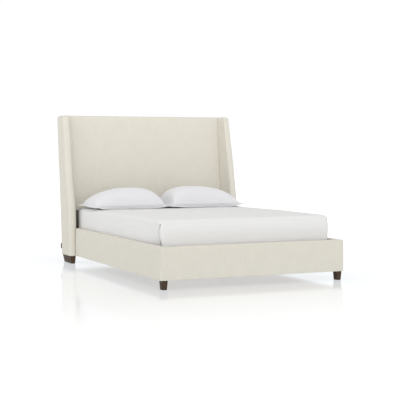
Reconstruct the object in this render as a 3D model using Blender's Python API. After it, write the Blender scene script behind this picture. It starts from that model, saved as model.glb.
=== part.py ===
"""Upholstered wing bed with a leaning headboard, slatted base, mattress and pillows.

Frame: +Z up, +Y towards the headboard, +X to the right seen from the foot.
The origin is on the floor under the centre of the bed. Metres throughout.
"""
import math

import bmesh
import bpy

# ---- driving dimensions -------------------------------------------------
OVERALL_WIDTH = 1.728
OVERALL_DEPTH = 2.470
HEADBOARD_TOP = 1.383
FOOT_HEIGHT = 0.072
RAIL_TOP = 0.330
RAIL_OUTER_WIDTH = 1.618
RAIL_THICKNESS = 0.045
WING_FRONT = 2.080          # from the foot face to the wing's front edge
WING_THICKNESS = 0.064
WING_KNEE_HEIGHT = 0.518    # the wing's front edge is upright below this
WING_FRONT_SLOPE = 0.219    # and slopes back this much per metre above it
LEAN = 0.097                # the headboard's backward lean per metre of height
HEADBOARD_THICKNESS = 0.100
MATTRESS_WIDTH = 1.520
MATTRESS_START = 0.142      # from the foot face, fitted sheet included
MATTRESS_LENGTH = 2.030
MATTRESS_BOTTOM = 0.2593
MATTRESS_TOP = 0.519
SLAT_COUNT = 12
SLAT_SIZE = (0.070, 0.018)  # width along the bed, thickness
THREAD_RADIUS = 0.004

# ---- layers and clearances ----------------------------------------------
GAP = 0.0003                # clearance between touching pieces
COVER = 0.002               # upholstery fabric
PAD = 0.0120                # foam on the rails' outer faces
TOP_PAD = 0.006             # foam on the rails' top edges
WING_PAD = 0.012
PANEL_FOAM = 0.0416
PLY = 0.010
TIMBER = 0.043
SHEET = 0.0015
ARC_STEPS = 4

FOOT_Y = -OVERALL_DEPTH / 2
HEAD_Y = OVERALL_DEPTH / 2
RAIL_OUTER = RAIL_OUTER_WIDTH / 2
WING_OUTER = OVERALL_WIDTH / 2
WING_INNER = WING_OUTER - WING_THICKNESS
PANEL_HALF = WING_INNER - GAP
BOARD_OUTER = COVER + GAP + PAD + GAP           # depth of a rail board's outer face
BOARD_INNER = RAIL_THICKNESS - COVER - GAP      # depth of its inner face
SIDES = {"left": -1, "right": 1}


# ---- materials ----------------------------------------------------------
def make_material(name, colour, roughness, metallic=0.0):
    material = bpy.data.materials.new(name)
    material.use_nodes = True
    shader = material.node_tree.nodes["Principled BSDF"]
    shader.inputs["Base Color"].default_value = (*colour, 1.0)
    shader.inputs["Roughness"].default_value = roughness
    shader.inputs["Metallic"].default_value = metallic
    material.diffuse_color = (*colour, 1.0)
    return material


def make_materials():
    return {
        "linen": make_material("linen", (0.70, 0.67, 0.58), 0.95),
        "foam": make_material("foam", (0.80, 0.76, 0.55), 0.95),
        "pine": make_material("pine", (0.62, 0.45, 0.27), 0.65),
        "plywood": make_material("plywood", (0.56, 0.42, 0.27), 0.70),
        "espresso": make_material("espresso", (0.060, 0.038, 0.026), 0.40),
        "steel": make_material("steel", (0.45, 0.45, 0.46), 0.35, 1.0),
        "nylon": make_material("nylon", (0.05, 0.05, 0.05), 0.50),
        "ticking": make_material("ticking", (0.82, 0.82, 0.80), 0.90),
        "sheet": make_material("sheet", (0.80, 0.80, 0.79), 0.85),
        "sham": make_material("sham", (0.82, 0.82, 0.84), 0.85),
        "tag": make_material("tag", (0.05, 0.05, 0.05), 0.80),
    }


# ---- mesh helpers -------------------------------------------------------
def make_object(name, mesh_builder, material, place=(0.0, 0.0, 0.0)):
    """Turn a filled bmesh into a named object with outward faces."""
    if mesh_builder.calc_volume(signed=True) < 0:
        bmesh.ops.reverse_faces(mesh_builder, faces=mesh_builder.faces)
    mesh = bpy.data.meshes.new(name)
    mesh_builder.to_mesh(mesh)
    mesh_builder.free()
    mesh.materials.append(material)
    made = bpy.data.objects.new(name, mesh)
    made.location = place
    bpy.context.scene.collection.objects.link(made)
    return made


def add_loft(mesh_builder, loops):
    """Skin the loops in order and cap the first and last."""
    rings = [[mesh_builder.verts.new(point) for point in loop] for loop in loops]
    for lower, upper in zip(rings, rings[1:]):
        for index in range(len(lower)):
            following = (index + 1) % len(lower)
            corners = (lower[index], lower[following], upper[following], upper[index])
            mesh_builder.faces.new(corners)
    mesh_builder.faces.new(rings[0][::-1])
    mesh_builder.faces.new(rings[-1])


def loft(name, loops, material, place=(0.0, 0.0, 0.0)):
    mesh_builder = bmesh.new()
    add_loft(mesh_builder, loops)
    return make_object(name, mesh_builder, material, place)


def box(name, low, high, material):
    """A box with its origin at its centre."""
    centre = [(a + b) / 2 for a, b in zip(low, high)]
    half = [(b - a) / 2 for a, b in zip(low, high)]
    corners = [(-1, -1), (1, -1), (1, 1), (-1, 1)]
    loops = [[(sx * half[0], sy * half[1], sz * half[2]) for sx, sy in corners] for sz in (-1, 1)]
    return loft(name, loops, material, centre)


def rounded_corner(before, corner, after, radius):
    """Points of the arc that rounds one corner of a 2-D outline."""
    if radius <= 0:
        return [corner]
    into = (before[0] - corner[0], before[1] - corner[1])
    out = (after[0] - corner[0], after[1] - corner[1])
    into_length = math.hypot(*into)
    out_length = math.hypot(*out)
    into = (into[0] / into_length, into[1] / into_length)
    out = (out[0] / out_length, out[1] / out_length)
    half_angle = math.acos(max(-1.0, min(1.0, into[0] * out[0] + into[1] * out[1]))) / 2
    reach = radius / math.tan(half_angle)
    bisector = (into[0] + out[0], into[1] + out[1])
    scale = radius / math.sin(half_angle) / math.hypot(*bisector)
    centre = (corner[0] + bisector[0] * scale, corner[1] + bisector[1] * scale)
    start = (corner[0] + into[0] * reach, corner[1] + into[1] * reach)
    end = (corner[0] + out[0] * reach, corner[1] + out[1] * reach)
    start_angle = math.atan2(start[1] - centre[1], start[0] - centre[0])
    sweep = math.atan2(end[1] - centre[1], end[0] - centre[0]) - start_angle
    sweep = (sweep + math.pi) % (2 * math.pi) - math.pi
    angles = [start_angle + sweep * step / ARC_STEPS for step in range(ARC_STEPS + 1)]
    return [(centre[0] + radius * math.cos(a), centre[1] + radius * math.sin(a)) for a in angles]


def rounded_outline(corners):
    """A closed 2-D outline from (x, y, radius) corners."""
    points = []
    for index, (x, y, radius) in enumerate(corners):
        before = corners[index - 1][:2]
        after = corners[(index + 1) % len(corners)][:2]
        points += rounded_corner(before, (x, y), after, radius)
    return points


def plan_loop(x_range, y_range, z, radius):
    """A rounded rectangle at height z."""
    x0, x1 = x_range
    y0, y1 = y_range
    corners = [(x0, y0, radius), (x1, y0, radius), (x1, y1, radius), (x0, y1, radius)]
    return [(x, y, z) for x, y in rounded_outline(corners)]


def back_plane(z):
    """The Y of the headboard's leaning back face at height z."""
    return HEAD_Y - LEAN * (HEADBOARD_TOP - z)


def leaning_slab(name, x_range, depths, z_range, material):
    """A slab parallel to the headboard's back, between two depths in front of it."""
    outline = [
        (back_plane(z_range[0]) - depths[1], z_range[0]),
        (back_plane(z_range[0]) - depths[0], z_range[0]),
        (back_plane(z_range[1]) - depths[0], z_range[1]),
        (back_plane(z_range[1]) - depths[1], z_range[1]),
    ]
    return loft(name, [[(x, y, z) for y, z in outline] for x in x_range], material)


# ---- headboard panel ----------------------------------------------------
def make_headboard_frame(materials):
    pine = materials["pine"]
    depths = (COVER + GAP, COVER + GAP + TIMBER)
    outer = PANEL_HALF - 0.0047
    inner = outer - 0.045
    top = HEADBOARD_TOP - 0.043
    bottom = FOOT_HEIGHT + 0.015
    leaning_slab("headboard_post_left", (-outer, -inner), depths, (bottom, top), pine)
    leaning_slab("headboard_post_right", (inner, outer), depths, (bottom, top), pine)
    between = (-inner + GAP, inner - GAP)
    leaning_slab("headboard_top_rail", between, depths, (top - 0.060, top), pine)
    leaning_slab("headboard_middle_rail", between, depths, (0.560, 0.620), pine)
    leaning_slab("headboard_bottom_rail", between, depths, (bottom, 0.240), pine)
    face_depths = (depths[1] + GAP, depths[1] + GAP + PLY)
    leaning_slab("headboard_face_board", (-outer, outer), face_depths, (bottom, top), materials["plywood"])


def over_the_top(name, inset, thickness, back_depth, bottom, radius, material):
    """An inverted L: down the headboard's front and over its top edge."""
    top = HEADBOARD_TOP - inset
    front = HEADBOARD_THICKNESS - inset
    face = front - thickness[0]
    under = top - thickness[1]
    inner_radius = max(radius - thickness[1], 0.0)
    corners = [
        (back_plane(bottom) - front, bottom, 0.0),
        (back_plane(top) - front, top, radius),
        (back_plane(top) - back_depth, top, min(0.008, thickness[1] / 2)),
        (back_plane(under) - back_depth, under, 0.0),
        (back_plane(under) - face, under, inner_radius),
        (back_plane(bottom) - face, bottom, 0.0),
    ]
    outline = rounded_outline(corners)
    return loft(name, [[(x, y, z) for y, z in outline] for x in (-PANEL_HALF, PANEL_HALF)], material)


def make_headboard_soft_parts(materials):
    base = 0.262
    foam_inset = COVER + GAP
    over_the_top("headboard_foam", foam_inset, (PANEL_FOAM, 0.0402), COVER + GAP, base, 0.020, materials["foam"])
    over_the_top("headboard_cover", 0.0, (COVER, COVER), 0.0, base, 0.022, materials["linen"])
    bottom = FOOT_HEIGHT + 0.008
    top = HEADBOARD_TOP - 0.010
    half = PANEL_HALF - 0.001
    leaning_slab("headboard_back_panel", (-half, half), (0.0, COVER), (bottom, top), materials["linen"])


# ---- wings --------------------------------------------------------------
def wing_front(z):
    return FOOT_Y + WING_FRONT + WING_FRONT_SLOPE * max(z - WING_KNEE_HEIGHT, 0.0)


def wing_loops(side, inset, bottom):
    """Plan sections of a wing, from the bottom up, shrunk by inset all round."""
    corner = 0.020 - inset * 0.8
    crown = 0.024 - inset
    top = HEADBOARD_TOP - inset
    levels = [(bottom, 0.0), (WING_KNEE_HEIGHT, 0.0)]
    for step in range(ARC_STEPS + 1):
        angle = math.radians(75) * step / ARC_STEPS
        levels.append((top - crown * (1 - math.sin(angle)), crown * (1 - math.cos(angle))))
    loops = []
    for z, shrink in levels:
        margin = inset + shrink
        x_range = sorted((side * (WING_INNER + margin), side * (WING_OUTER - margin)))
        y_range = (wing_front(z) + margin, back_plane(z) - margin)
        loops.append(plan_loop(x_range, y_range, z, max(corner - shrink * 0.5, 0.003)))
    return loops


def make_wing(name, side, materials):
    """Timber core, foam sleeve and sewn fabric sleeve, both sleeves open at the bottom."""
    cover_bottom = FOOT_HEIGHT
    core_inset = COVER + GAP + WING_PAD + GAP
    core_bottom = FOOT_HEIGHT + GAP
    outside = wing_loops(side, 0.0, cover_bottom)
    inside = wing_loops(side, COVER, cover_bottom)
    loft("wing_cover_" + name, inside[::-1] + outside, materials["linen"])
    outside = wing_loops(side, COVER + GAP, core_bottom)
    inside = wing_loops(side, core_inset - GAP, core_bottom)
    loft("wing_foam_" + name, inside[::-1] + outside, materials["foam"])
    loft("wing_core_" + name, wing_loops(side, core_inset, core_bottom), materials["pine"])


def make_tag(materials):
    """A plain folded tag sewn into the left wing's back seam."""
    x = -WING_OUTER + 0.012
    low_z, high_z = 0.122, 0.172
    depth = 0.012
    outline = [
        (back_plane(low_z) + GAP, low_z),
        (back_plane(low_z) + depth, low_z),
        (back_plane(high_z) + depth, high_z),
        (back_plane(high_z) + GAP, high_z),
    ]
    loops = [[(edge, y, z) for y, z in outline] for edge in (x, x + 0.0015)]
    loft("side_tag", loops, materials["tag"])


# ---- side rails and footboard -------------------------------------------
def rail_profile(layer):
    """Outline of a rail layer as (depth from the outer face, height) points."""
    bottom = FOOT_HEIGHT
    top = RAIL_TOP
    far = RAIL_THICKNESS
    if layer == "board":
        low = bottom + COVER + GAP
        high = top - COVER - GAP - TOP_PAD - GAP
        return [(BOARD_OUTER, low), (BOARD_INNER, low), (BOARD_INNER, high), (BOARD_OUTER, high)]
    if layer == "foam":
        low = bottom + COVER + GAP
        high = top - COVER - GAP
        near = COVER + GAP
        corners = [
            (near, low, 0.004), (near, high, 0.010), (BOARD_INNER, high, 0.004), (BOARD_INNER, high - TOP_PAD, 0.0),
            (near + PAD, high - TOP_PAD, 0.0), (near + PAD, low, 0.0),
        ]
        return rounded_outline(corners)
    lip = 0.060
    hem = bottom + COVER
    corners = [
        (far, top - lip, 0.0), (far, top, 0.006), (0.0, top, 0.012), (0.0, bottom, 0.006),
        (BOARD_INNER, bottom, 0.0), (BOARD_INNER, hem, 0.0), (COVER, hem, 0.004),
        (COVER, top - COVER, 0.010), (far - COVER, top - COVER, 0.004), (far - COVER, top - lip, 0.0),
    ]
    return rounded_outline(corners)


def make_side_rail(name, side, materials):
    """A board with foam outside and on top, wrapped in fabric and mitred at the foot."""
    board_end = back_plane(RAIL_TOP) - HEADBOARD_THICKNESS - 0.010
    head_ends = {
        "board": board_end,
        "foam": FOOT_Y + WING_FRONT - 2 * GAP,
        "cover": FOOT_Y + WING_FRONT - GAP,
    }
    finishes = {"board": "pine", "foam": "foam", "cover": "linen"}
    for layer, head_end in head_ends.items():
        profile = rail_profile(layer)
        foot_loop = [(side * (RAIL_OUTER - d), FOOT_Y + d + GAP, z) for d, z in profile]
        head_loop = [(side * (RAIL_OUTER - d), head_end, z) for d, z in profile]
        loft("rail_" + layer + "_" + name, [foot_loop, head_loop], materials[finishes[layer]])


def make_footboard(materials):
    finishes = {"board": "pine", "foam": "foam", "cover": "linen"}
    for layer, finish in finishes.items():
        profile = rail_profile(layer)
        loops = [[(side * (RAIL_OUTER - d - GAP), FOOT_Y + d, z) for d, z in profile] for side in (-1, 1)]
        loft("footboard_" + layer, loops, materials[finish])


# ---- feet, blocks and steel ---------------------------------------------
def tapered_block(name, top_box, bottom_box, z_range, material):
    """A square-section block that narrows from its top rectangle to its bottom one."""
    loops = []
    for (x_range, y_range), z in ((bottom_box, z_range[0]), (top_box, z_range[1])):
        loops.append(plan_loop(x_range, y_range, z, 0.003))
    return loft(name, loops, material)


def make_feet(materials):
    height = (0.0, FOOT_HEIGHT - GAP)
    for name, side in SIDES.items():
        top_x = sorted((side * (WING_INNER + 0.007), side * (WING_OUTER - 0.005)))
        bottom_x = sorted((side * (WING_INNER + 0.013), side * (WING_OUTER - 0.016)))
        front = FOOT_Y + WING_FRONT
        top_y = (front + 0.004, front + 0.246)
        bottom_y = (front + 0.008, front + 0.232)
        tapered_block("head_foot_" + name, (top_x, top_y), (bottom_x, bottom_y), height, materials["espresso"])
        top_x = sorted((side * (RAIL_OUTER - 0.014), side * (RAIL_OUTER - 0.063)))
        bottom_x = sorted((side * (RAIL_OUTER - 0.019), side * (RAIL_OUTER - 0.0575)))
        top_y = (FOOT_Y + 0.006, FOOT_Y + 0.064)
        bottom_y = (FOOT_Y + 0.010, FOOT_Y + 0.060)
        tapered_block("foot_leg_" + name, (top_x, top_y), (bottom_x, bottom_y), height, materials["espresso"])


LEDGE_TOP = MATTRESS_BOTTOM - GAP - SLAT_SIZE[1] - GAP
BOARD_FACE = RAIL_OUTER - BOARD_INNER - GAP      # X of the clear face beside a rail board
FOOT_FACE = FOOT_Y + BOARD_INNER + GAP           # Y of the clear face behind the footboard's board


def make_ledges_and_blocks(materials):
    ledge_head = back_plane(RAIL_TOP) - HEADBOARD_THICKNESS - 0.030
    block_top = LEDGE_TOP - 0.040 - GAP
    for name, side in SIDES.items():
        x_range = sorted((side * (BOARD_FACE - 0.025), side * BOARD_FACE))
        low = (x_range[0], FOOT_FACE, LEDGE_TOP - 0.040)
        high = (x_range[1], ledge_head, LEDGE_TOP)
        box("slat_ledge_" + name, low, high, materials["pine"])
        x_range = sorted((side * (BOARD_FACE - 0.060), side * BOARD_FACE))
        low = (x_range[0], FOOT_FACE, FOOT_HEIGHT + 0.006)
        high = (x_range[1], FOOT_FACE + 0.060, block_top)
        box("corner_block_" + name, low, high, materials["pine"])


def make_rail_brackets(materials):
    """Steel angles that tie each rail board to the headboard's face board."""
    plate = 0.003
    z_range = (0.095, LEDGE_TOP - 0.040 - 0.004)
    face_depth = COVER + GAP + TIMBER + GAP + PLY + GAP
    for name, side in SIDES.items():
        loops = []
        for z in z_range:
            wall = back_plane(z) - face_depth
            start = back_plane(z_range[0]) - face_depth - 0.115
            outline = [
                (BOARD_FACE, start), (BOARD_FACE, wall), (BOARD_FACE - 0.055, wall), (BOARD_FACE - 0.055, wall - plate),
                (BOARD_FACE - plate, wall - plate), (BOARD_FACE - plate, start),
            ]
            loops.append([(side * x, y, z) for x, y in outline])
        loft("rail_bracket_" + name, loops, materials["steel"])


# ---- centre beam and its levelling legs ---------------------------------
BEAM_HALF = 0.019
BEAM_DEPTH = 0.060
BEAM_BOTTOM = LEDGE_TOP - BEAM_DEPTH
LEG_BOTTOM = 0.030
LEG_PLACES = (-0.480, 0.330)
PAD_TOP = 0.010
STEM_LENGTH = 0.075


def make_centre_beam(materials):
    plate = 0.0025
    foot_end = FOOT_FACE + plate + GAP
    face_depth = COVER + GAP + TIMBER + GAP + PLY + GAP
    hanger_low = BEAM_BOTTOM - GAP - plate
    head_end = back_plane(hanger_low) - face_depth - plate - 2 * GAP
    low = (-BEAM_HALF, foot_end, BEAM_BOTTOM)
    high = (BEAM_HALF, head_end, LEDGE_TOP)
    box("centre_beam", low, high, materials["pine"])
    shelf = 0.045
    upright = LEDGE_TOP - 0.004
    foot_outline = [
        (FOOT_FACE, hanger_low), (FOOT_FACE + shelf, hanger_low), (FOOT_FACE + shelf, hanger_low + plate),
        (FOOT_FACE + plate, hanger_low + plate), (FOOT_FACE + plate, upright), (FOOT_FACE, upright),
    ]
    inner_low = back_plane(hanger_low) - face_depth
    inner_seat = back_plane(hanger_low + plate) - face_depth
    inner_high = back_plane(upright) - face_depth
    head_outline = [
        (inner_low, hanger_low), (inner_high, upright), (inner_high - plate, upright),
        (inner_seat - plate, hanger_low + plate), (inner_low - shelf, hanger_low + plate), (inner_low - shelf, hanger_low),
    ]
    for name, outline in (("foot", foot_outline), ("head", head_outline)):
        loops = [[(x, y, z) for y, z in outline] for x in (-0.032, 0.032)]
        loft("beam_hanger_" + name, loops, materials["steel"])


def circle_loop(radius, z, steps=20):
    angles = [2 * math.pi * step / steps for step in range(steps)]
    return [(radius * math.cos(a), radius * math.sin(a), z) for a in angles]


def square_loop(half, z, steps=20):
    """A square walked with the same number of points as a circle."""
    loop = []
    for step in range(steps):
        angle = 2 * math.pi * step / steps
        reach = half / max(abs(math.cos(angle)), abs(math.sin(angle)))
        loop.append((reach * math.cos(angle), reach * math.sin(angle), z))
    return loop


def make_centre_leg(name, y, materials):
    """A post with a threaded bore, and a levelling foot: a pad and a stem that screws out."""
    top = BEAM_BOTTOM - GAP
    bore_radius = THREAD_RADIUS + 0.0005
    bore_top = PAD_TOP + GAP + STEM_LENGTH + 0.010
    half = 0.0225
    steps = 24
    post_loops = [
        circle_loop(bore_radius, bore_top, steps), circle_loop(bore_radius, LEG_BOTTOM, steps),
        square_loop(half, LEG_BOTTOM, steps), square_loop(half, top, steps),
    ]
    loft("centre_leg_" + name, post_loops, materials["pine"], (0.0, y, 0.0))
    pad_loops = [
        circle_loop(0.0180, 0.0), circle_loop(0.0190, 0.0015), circle_loop(0.0190, 0.0040),
        circle_loop(0.0100, 0.0080), circle_loop(0.0085, PAD_TOP),
    ]
    loft("leveller_pad_" + name, pad_loops, materials["nylon"], (0.0, y, 0.0))
    collar = PAD_TOP + GAP
    stem_loops = [
        circle_loop(0.0075, collar), circle_loop(0.0075, collar + 0.005), circle_loop(THREAD_RADIUS, collar + 0.005),
        circle_loop(THREAD_RADIUS, collar + STEM_LENGTH - 0.001), circle_loop(THREAD_RADIUS - 0.001, collar + STEM_LENGTH),
    ]
    loft("leveller_stem_" + name, stem_loops, materials["steel"], (0.0, y, 0.0))


def make_slats(materials):
    first = FOOT_Y + 0.110
    last = back_plane(LEDGE_TOP) - HEADBOARD_THICKNESS - 0.075
    half_length = BOARD_FACE - 0.003
    low_z = LEDGE_TOP + GAP
    for index in range(SLAT_COUNT):
        y = first + (last - first) * index / (SLAT_COUNT - 1)
        low = (-half_length, y - SLAT_SIZE[0] / 2, low_z)
        high = (half_length, y + SLAT_SIZE[0] / 2, low_z + SLAT_SIZE[1])
        box("slat_%02d" % (index + 1), low, high, materials["pine"])


# ---- mattress, sheet and pillows ----------------------------------------
def mattress_loops(inset, bottom):
    """Plan sections of the mattress: upright sides and a rolled top edge."""
    half = MATTRESS_WIDTH / 2 - inset
    y_range = (FOOT_Y + MATTRESS_START + inset, FOOT_Y + MATTRESS_START + MATTRESS_LENGTH - inset)
    roll = 0.030 - inset
    top = MATTRESS_TOP - inset
    levels = [(bottom, 0.0)]
    for step in range(ARC_STEPS + 1):
        angle = math.radians(72) * step / ARC_STEPS
        levels.append((top - roll * (1 - math.sin(angle)), roll * (1 - math.cos(angle))))
    levels.append((top, roll * 1.6))
    loops = []
    for z, shrink in levels:
        x_range = (-half + shrink, half - shrink)
        loops.append(plan_loop(x_range, (y_range[0] + shrink, y_range[1] - shrink), z, 0.050 - inset))
    return loops


def make_mattress(materials):
    core_inset = SHEET + GAP
    loft("mattress", mattress_loops(core_inset, MATTRESS_BOTTOM), materials["ticking"])
    outside = mattress_loops(0.0, MATTRESS_BOTTOM + 0.004)
    inside = mattress_loops(SHEET, MATTRESS_BOTTOM + 0.004)
    loft("fitted_sheet", inside[::-1] + outside, materials["sheet"])


def make_pillow(name, centre, half_size, half_height, material):
    """A plump closed pillow with a thin flange all round at mid height."""
    flange = 0.045
    loops = []
    steps = 5
    for step in range(-steps, steps + 1):
        if step == 0:
            for z in (-0.003, 0.003):
                x_range = (-half_size[0], half_size[0])
                loops.append(plan_loop(x_range, (-half_size[1], half_size[1]), z, 0.020))
            continue
        angle = math.radians(84) * (abs(step) - 0.6) / (steps - 0.6)
        fullness = math.cos(angle) ** 0.7
        reach = [(size - flange) * fullness for size in half_size]
        z = math.copysign(0.004 + (half_height - 0.004) * math.sin(angle) / math.sin(math.radians(84)), step)
        loops.append(plan_loop((-reach[0], reach[0]), (-reach[1], reach[1]), z, 0.35 * min(reach)))
    return loft(name, loops, material, centre)


def make_pillows(materials):
    half_size = (0.374, 0.240)
    half_height = 0.090
    z = MATTRESS_TOP + GAP + half_height
    y = FOOT_Y + 1.915
    for name, side in SIDES.items():
        make_pillow("pillow_" + name, (side * 0.379, y, z), half_size, half_height, materials["sham"])


def build():
    for old in list(bpy.data.objects):
        bpy.data.objects.remove(old, do_unlink=True)
    materials = make_materials()
    make_headboard_frame(materials)
    make_headboard_soft_parts(materials)
    for name, side in SIDES.items():
        make_wing(name, side, materials)
        make_side_rail(name, side, materials)
    make_tag(materials)
    make_footboard(materials)
    make_feet(materials)
    make_ledges_and_blocks(materials)
    make_rail_brackets(materials)
    make_centre_beam(materials)
    for name, y in zip(("foot", "head"), LEG_PLACES):
        make_centre_leg(name, y, materials)
    make_slats(materials)
    make_mattress(materials)
    make_pillows(materials)


build()
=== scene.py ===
"""Looks for the upholstered wing bed.

Sewn linen covers over foam, a made-up mattress with two flanged pillows, stained feet, and the pine and
steel work underneath. Metres, +Z up, +Y towards the headboard, +X to the right seen from the foot.
"""

import math

import bmesh
import bpy
import numpy as np
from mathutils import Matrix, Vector, noise


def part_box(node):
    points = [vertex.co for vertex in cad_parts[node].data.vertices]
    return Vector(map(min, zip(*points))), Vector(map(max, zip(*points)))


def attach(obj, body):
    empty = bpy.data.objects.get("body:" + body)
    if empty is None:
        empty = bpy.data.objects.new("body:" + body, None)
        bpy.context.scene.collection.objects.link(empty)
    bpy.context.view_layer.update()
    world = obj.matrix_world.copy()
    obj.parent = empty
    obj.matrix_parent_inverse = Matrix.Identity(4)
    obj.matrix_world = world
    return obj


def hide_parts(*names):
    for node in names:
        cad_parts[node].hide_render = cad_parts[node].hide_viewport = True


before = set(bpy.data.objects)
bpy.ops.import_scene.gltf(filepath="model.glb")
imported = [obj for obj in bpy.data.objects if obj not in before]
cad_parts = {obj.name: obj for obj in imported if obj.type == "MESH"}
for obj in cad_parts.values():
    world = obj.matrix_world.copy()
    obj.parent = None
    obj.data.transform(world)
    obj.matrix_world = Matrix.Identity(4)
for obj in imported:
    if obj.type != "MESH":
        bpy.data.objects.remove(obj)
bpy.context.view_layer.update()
scene = bpy.context.scene


# ---- places taken from the frame ----------------------------------------
def corners(node):
    low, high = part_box(node)
    return Vector(low), Vector(high)


SIDES = {"left": -1, "right": 1}
CLOTH = 0.002                     # thickness of the upholstery linen
SEAM_CORD = 0.0021                # radius of the cord or thread in a seam
WING_KNEE = 0.518                 # the wings' front edges are upright below this height
WING_SLOPE = 0.219                # and slope back this much per metre above it

back_low, back_high = corners("headboard_back_panel")
panel_low, panel_high = corners("headboard_cover")
wing_low, wing_high = corners("wing_cover_left")
rail_low, rail_high = corners("rail_cover_left")
sheet_low, sheet_high = corners("fitted_sheet")

LEAN = (back_high.y - back_low.y - CLOTH) / (back_high.z - back_low.z)
TOP = panel_high.z
PANEL_HALF = panel_high.x - 0.012  # the sewn panel stops here, inside the wings' swell
WING_OUTER = -wing_low.x
WING_INNER = -wing_high.x
RAIL_OUTER = -rail_low.x
RAIL_THICKNESS = rail_high.x - rail_low.x
FOOT_Y = corners("footboard_cover")[0].y


def back_plane(z):
    """The Y of the headboard's leaning back face at height z."""
    return back_high.y + LEAN * (z - back_high.z)


PANEL_DEPTH = back_plane(panel_low.z) - panel_low.y


def wing_front(z):
    return wing_low.y + WING_SLOPE * max(z - WING_KNEE, 0.0)


# ---- mesh tools ---------------------------------------------------------
def clamp(value):
    return min(max(value, 0.0), 1.0)


def hump(value, middle, width):
    """A smooth rise to 1 at the middle, nearly gone two widths away."""
    return math.exp(-((value - middle) / width) ** 2)


def wobble(point, scale, seed=0.0):
    """Smooth noise between about -1 and 1."""
    return noise.noise(Vector(point) * scale + Vector((seed, seed * 1.7, seed * 0.3)))


def arc_points(centre, radius, start, end, steps):
    angles = [math.radians(start + (end - start) * k / steps) for k in range(steps + 1)]
    return [(centre[0] + radius * math.cos(a), centre[1] + radius * math.sin(a)) for a in angles]


def circle(count):
    """Evenly spaced angles once round."""
    return np.linspace(0, math.tau, count, endpoint=False)


def stand(name, data):
    thing = bpy.data.objects.new(name, data)
    scene.collection.objects.link(thing)
    return thing


def final_mesh(thing):
    """What an object's modifiers, or its curve, come to."""
    graph = bpy.context.evaluated_depsgraph_get()
    return bpy.data.meshes.new_from_object(thing.evaluated_get(graph), depsgraph=graph)


def turn_outwards(mesh):
    """Flip a mesh whose faces point in."""
    work = bmesh.new()
    work.from_mesh(mesh)
    if work.calc_volume(signed=True) < 0:
        bmesh.ops.reverse_faces(work, faces=work.faces)
        work.to_mesh(mesh)
    work.free()


def piece_from(name, points, faces, finish, closed=True):
    mesh = bpy.data.meshes.new(name)
    mesh.from_pydata([tuple(p) for p in points], [], faces)
    mesh.update()
    if closed:
        turn_outwards(mesh)
    mesh.materials.append(finish)
    mesh.shade_smooth()
    return stand(name, mesh)


def skin(name, rings, finish, cap_start=True):
    """Quads between successive closed rings of equal length, with flat caps."""
    count = len(rings[0])
    faces = []
    for near in range(0, (len(rings) - 1) * count, count):
        for index in range(count):
            following = (index + 1) % count
            faces.append((near + index, near + following, near + count + following, near + count + index))
    if cap_start:
        faces.append(tuple(range(count))[::-1])
    last = (len(rings) - 1) * count
    faces.append(tuple(range(last, last + count)))
    return piece_from(name, [p for ring in rings for p in ring], faces, finish)


def sheet_grid(name, rows, finish):
    """An open surface from rows of points; left to right then up gives a face towards the foot."""
    across = len(rows[0])
    faces = []
    for row in range(len(rows) - 1):
        for column in range(across - 1):
            here = row * across + column
            faces.append((here, here + 1, here + across + 1, here + across))
    return piece_from(name, [p for row in rows for p in row], faces, finish, closed=False)


def swell(piece, amount):
    """Move every point along its normal by amount(point, normal)."""
    mesh = piece.data
    moved = [v.co + v.normal * amount(v.co, v.normal) for v in mesh.vertices]
    for vertex, place in zip(mesh.vertices, moved):
        vertex.co = place
    mesh.update()


def settle_in(thing, settings):
    for key, value in settings.items():
        setattr(thing, key, value)


def apply_modifiers(piece):
    mesh = final_mesh(piece)
    piece.modifiers.clear()
    old = piece.data
    piece.data = mesh
    bpy.data.meshes.remove(old)
    piece.data.name = piece.name


def modify(piece, kind, **settings):
    """Give the piece one modifier and turn the result into its mesh."""
    settle_in(piece.modifiers.new("Change", kind), settings)
    apply_modifiers(piece)


def thicken(piece, thickness):
    modify(piece, "SOLIDIFY", thickness=thickness, offset=-1.0, use_even_offset=True)


def smooth_over(piece):
    modify(piece, "SUBSURF", levels=1, render_levels=1)
    piece.data.shade_smooth()


def soften_edges(piece, width):
    modify(piece, "BEVEL", width=width, segments=4, limit_method="ANGLE", angle_limit=math.radians(35))
    piece.data.shade_smooth()
    piece.data.set_sharp_from_angle(angle=math.radians(50))


def fit_out(piece, nodes=(), body="root"):
    """Hand a finished piece to the frame: parent it to its body and hide the frame nodes it stands for."""
    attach(piece, body)
    if nodes:
        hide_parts(*nodes)


def rounded_ring(x_range, y_range, z, radius, steps):
    """Points round a rounded rectangle; steps along x, along y and round each corner."""
    (x0, x1), (y0, y1) = x_range, y_range
    centres = ((x0 + radius, y0 + radius), (x1 - radius, y0 + radius),
               (x1 - radius, y1 - radius), (x0 + radius, y1 - radius))
    points = []
    for quarter, (cx, cy) in enumerate(centres):
        for step in range(steps[2] + 1):
            angle = math.radians(180 + 90 * quarter + 90 * step / steps[2])
            points.append((cx + radius * math.cos(angle), cy + radius * math.sin(angle), z))
        start = points[-1]
        angle = math.radians(180 + 90 * (quarter + 1))
        nx, ny = centres[(quarter + 1) % 4]
        end = (nx + radius * math.cos(angle), ny + radius * math.sin(angle))
        count = steps[quarter % 2]
        for step in range(1, count):
            share = step / count
            points.append((*(a + (b - a) * share for a, b in zip(start, end)), z))
    return points


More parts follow.
